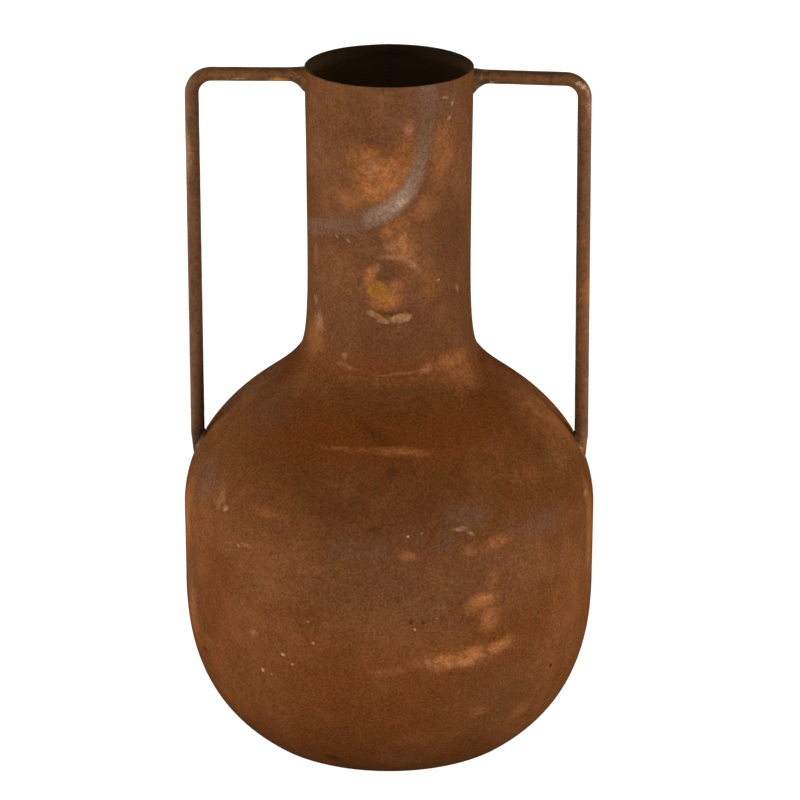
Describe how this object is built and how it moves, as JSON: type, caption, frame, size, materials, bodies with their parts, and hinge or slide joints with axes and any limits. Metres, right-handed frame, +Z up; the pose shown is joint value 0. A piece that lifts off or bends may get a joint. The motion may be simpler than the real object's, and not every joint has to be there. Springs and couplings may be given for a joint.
{
  "type": "two-handled vase",
  "caption": "Tall-necked vase of rusted sheet iron: round flat-based belly, straight neck with an open mouth, and a bent round-bar handle welded on each side.",
  "frame": {"origin": "middle of the flat base, on the surface that the vase stands on", "axes": "+Z up through the mouth, handles along X, front towards -Y"},
  "size_m": [0.2406, 0.2406, 0.4],
  "materials": {
    "rust_sheet": "rusted sheet iron, matt to satin, with patches of bare grey metal",
    "rust_bar": "rusted round bar, darker brown, worn grey on the bends",
    "rust_weld": "rusted weld metal, rough"
  },
  "bodies": {
    "root": {"base_bowl": "rust_sheet", "belly_band": "rust_sheet", "shoulder_dome": "rust_sheet", "neck_tube": "rust_sheet", "base_weld_ring": "rust_weld", "shoulder_weld_ring": "rust_weld", "neck_weld_ring": "rust_weld", "band_seam_weld": "rust_weld", "neck_seam_weld": "rust_weld", "handle_left": "rust_bar", "handle_left_neck_weld": "rust_weld", "handle_left_foot_weld": "rust_weld", "handle_right": "rust_bar", "handle_right_neck_weld": "rust_weld", "handle_right_foot_weld": "rust_weld"}
  },
  "joints": []
}
